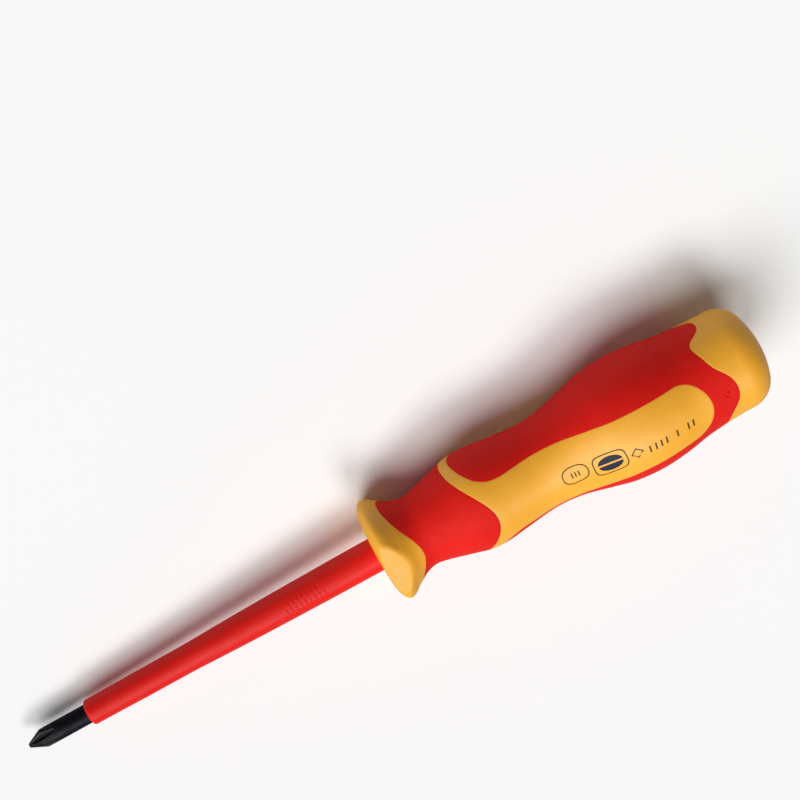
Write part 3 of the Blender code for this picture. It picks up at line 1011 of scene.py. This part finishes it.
def make_prints(materials):
    """Plain printed shapes along the panel: an outline, a badge, a diamond and a row of strokes."""
    lines = bmesh.new()
    shape_centre = (52.5, -0.3)
    ring_pad(
        lines,
        rounded_polygon(shape_centre, (3.4, 2.6), 48, power=2.6),
        rounded_polygon(shape_centre, (3.1, 2.3), 48, power=2.6),
        panel_surface,
        PRINT_HEIGHT,
    )
    for offset in (-0.9, 0.0, 0.9):
        x, y = shape_centre
        bar = stroke((x + offset, y - 0.8), (x + offset, y + 0.8), 0.35)
        pad(lines, bar, panel_surface, PRINT_HEIGHTS, 0.5)
    badge_centre = (61.3, -0.9)
    ring_pad(
        lines,
        rounded_polygon(badge_centre, (4.3, 3.1), 64, power=4),
        rounded_polygon(badge_centre, (4.0, 2.8), 64, power=4),
        panel_surface,
        PRINT_HEIGHT,
    )
    diamond_centre = (68.1, -1.3)
    ring_pad(
        lines,
        rounded_polygon(diamond_centre, (1.7, 1.6), 4),
        rounded_polygon(diamond_centre, (1.25, 1.15), 4),
        panel_surface,
        PRINT_HEIGHT,
    )
    for x in (71.3, 72.9, 74.4, 75.9, 79.0, 82.2, 83.7):
        bar = stroke((x, -3.0), (x + 0.2, -1.0), 0.45)
        pad(lines, bar, panel_surface, PRINT_HEIGHTS, 0.5)
    printed = new_object("panel_print_lines", lines)
    dress(printed, materials["ink"])
    solid = bmesh.new()
    for side in (-1, 1):
        x, y = badge_centre
        half_disc = []
        for i in range(25):
            angle = math.pi * i / 24
            half_disc.append((x + 3.1 * math.cos(angle), y + side * (0.25 + 1.9 * math.sin(angle))))
        for i in range(1, 14):
            half_disc.append((x - 3.1 + 6.2 * i / 14, y + side * 0.25))
        if side < 0:
            half_disc.reverse()
        pad(solid, half_disc, panel_surface, PRINT_HEIGHTS, 0.45)
    badge = new_object("panel_print_badge", solid)
    dress(badge, materials["dark_ink"])


# Each row of raised bars: its start, its middle round the sleeve and half the height of each bar.
MARK_ROWS = (
    (73.4, 0.1, (0.8, 0.8, 0.45, 0.8, 0.8, 0.45, 0.8, 0.8, 0.8)),
    (74.4, 1.95, (0.45, 0.7, 0.7, 0.45, 0.7, 0.45, 0.7)),
)
MARK_PITCH = 1.35
MARK_HALF_WIDTH = 0.28
BAR_STEPS = (  # a bar's rings: distance in from its edge, height
    (0.0, -0.08),
    (0.0, 0.0),
    (0.025, 0.06),
    (0.07, 0.105),
    (0.13, 0.13),
    (0.19, 0.14),
)


def raised_bar(shape, centre, size, surface):
    """A closed round-topped bar that stands on a surface, from rings one inside the next."""
    rings = []
    for inset, height in BAR_STEPS:
        outline = rounded_polygon(centre, (size[0] - inset, size[1] - inset), 28, power=3.2)
        rings.append([shape.verts.new(surface(a, b, height)) for a, b in outline])
    for low, high in zip(rings, rings[1:]):
        for i in range(len(low)):
            j = (i + 1) % len(low)
            shape.faces.new((low[j], low[i], high[i], high[j]))
    shape.faces.new(rings[0])
    shape.faces.new(rings[-1][::-1])


def make_raised_marks(material):
    """Two rows of plain raised bars on the sleeve."""
    shape = bmesh.new()
    for first, middle, halves in MARK_ROWS:
        for i, half in enumerate(halves):
            centre = (first + i * MARK_PITCH, middle)
            raised_bar(shape, centre, (MARK_HALF_WIDTH, half), sleeve_surface)
    marks = new_object("sleeve_raised_marks", shape)
    dress(marks, material)


# ---------------------------------------------------------------- stage

CAMERA_AIM = Vector((0.12375, 0.0349, 0.0))
CAMERA_AZIMUTH = 89.1
CAMERA_ELEVATION = 62.7
CAMERA_DISTANCE = 0.4360
CAMERA_ROLL = 151.84
LENS = 81.0

FLOOR_COLOUR = (0.92, 0.92, 0.915)
FLOOR_IN_GLOSS = 0.35  # how bright glossy surfaces see the floor, which keeps shaded colours deep
FLOOR_RADIUS = 3.0  # in metres
FLOOR_GAP = 0.1 * MM
FILL = 0.13  # how much light comes from all round
WALL = 1.15  # how bright the wall behind the floor looks


def direction(azimuth, elevation):
    """A unit vector, from an azimuth counted from +X towards +Y and an elevation, in degrees."""
    azimuth, elevation = math.radians(azimuth), math.radians(elevation)
    level = math.cos(elevation)
    return Vector((level * math.cos(azimuth), level * math.sin(azimuth), math.sin(elevation)))


def make_camera():
    data = bpy.data.cameras.new("camera")
    data.lens = LENS
    data.sensor_width = 36
    data.clip_start = 0.01
    data.clip_end = 20
    camera = bpy.data.objects.new("camera", data)
    bpy.context.scene.collection.objects.link(camera)
    place = CAMERA_AIM + CAMERA_DISTANCE * direction(CAMERA_AZIMUTH, CAMERA_ELEVATION)
    look = (CAMERA_AIM - place).to_track_quat("-Z", "Y").to_matrix().to_4x4()
    roll = Matrix.Rotation(math.radians(CAMERA_ROLL), 4, "Z")
    camera.matrix_world = Matrix.Translation(place) @ look @ roll
    bpy.context.scene.camera = camera


def make_floor():
    """A pale floor, tilted so that the tool lies on the guard's lower flat and the handle's belly."""
    belly_x = GUARD_FACE + BELLY_X
    guard_x = GUARD_FACE + GUARD_CREST[0] * MM
    tilt = math.atan2(BELLY - GUARD_FLAT, belly_x - guard_x)
    bpy.ops.mesh.primitive_circle_add(vertices=96, radius=FLOOR_RADIUS, fill_type="NGON")
    floor = bpy.context.object
    floor.name = "floor"
    floor.rotation_euler = (0, tilt, 0)
    floor.location = Vector((belly_x, 0, -BELLY - FLOOR_GAP))
    nodes = Nodes("floor_paint")
    cloud = nodes.ranged(nodes.noise(6, 2, 0.5), 0.0, 1.0)
    paint = nodes.mixed(cloud, shade(FLOOR_COLOUR, 0.99), FLOOR_COLOUR)
    mirrored = nodes.add("ShaderNodeLightPath").outputs["Is Glossy Ray"]
    paint = nodes.mixed(mirrored, paint, shade(FLOOR_COLOUR, FLOOR_IN_GLOSS))
    nodes.link(paint, nodes.shader.inputs["Base Color"])
    nodes.shader.inputs["Roughness"].default_value = 0.9
    floor.data.materials.append(nodes.material)


def soft_light(name, towards, strength, spread):
    """A wide, distant light: it lights the floor evenly and softens every shadow."""
    data = bpy.data.lights.new(name, "SUN")
    data.energy = strength
    data.angle = math.radians(spread)
    light = bpy.data.objects.new(name, data)
    bpy.context.scene.collection.objects.link(light)
    light.location = towards
    light.rotation_euler = towards.to_track_quat("Z", "Y").to_euler()


def make_lights():
    soft_light("key", direction(194, 54), 2.35, 44)
    soft_light("sheen", direction(264, 58), 1.2, 24)
    world = bpy.data.worlds.new("studio")
    world.use_nodes = True
    tree = world.node_tree
    fill = tree.nodes["Background"]
    fill.inputs["Color"].default_value = (1, 1, 1, 1)
    fill.inputs["Strength"].default_value = FILL
    wall = tree.nodes.new("ShaderNodeBackground")
    wall.inputs["Strength"].default_value = WALL
    seen = tree.nodes.new("ShaderNodeLightPath").outputs["Is Camera Ray"]
    either = tree.nodes.new("ShaderNodeMixShader")
    tree.links.new(seen, either.inputs[0])
    tree.links.new(fill.outputs[0], either.inputs[1])
    tree.links.new(wall.outputs[0], either.inputs[2])
    tree.links.new(either.outputs[0], tree.nodes["World Output"].inputs["Surface"])
    bpy.context.scene.world = world
    bpy.context.scene.view_settings.view_transform = "Standard"


# ---------------------------------------------------------------- build

materials = make_materials()
make_camera()
make_handle(materials)
make_sleeve(materials["red_sleeve"])
make_blade(materials["black_steel"])
make_prints(materials)
make_raised_marks(materials["red_sleeve"])
dress(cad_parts["handle_core"], materials["core_plastic"])
make_floor()
make_lights()
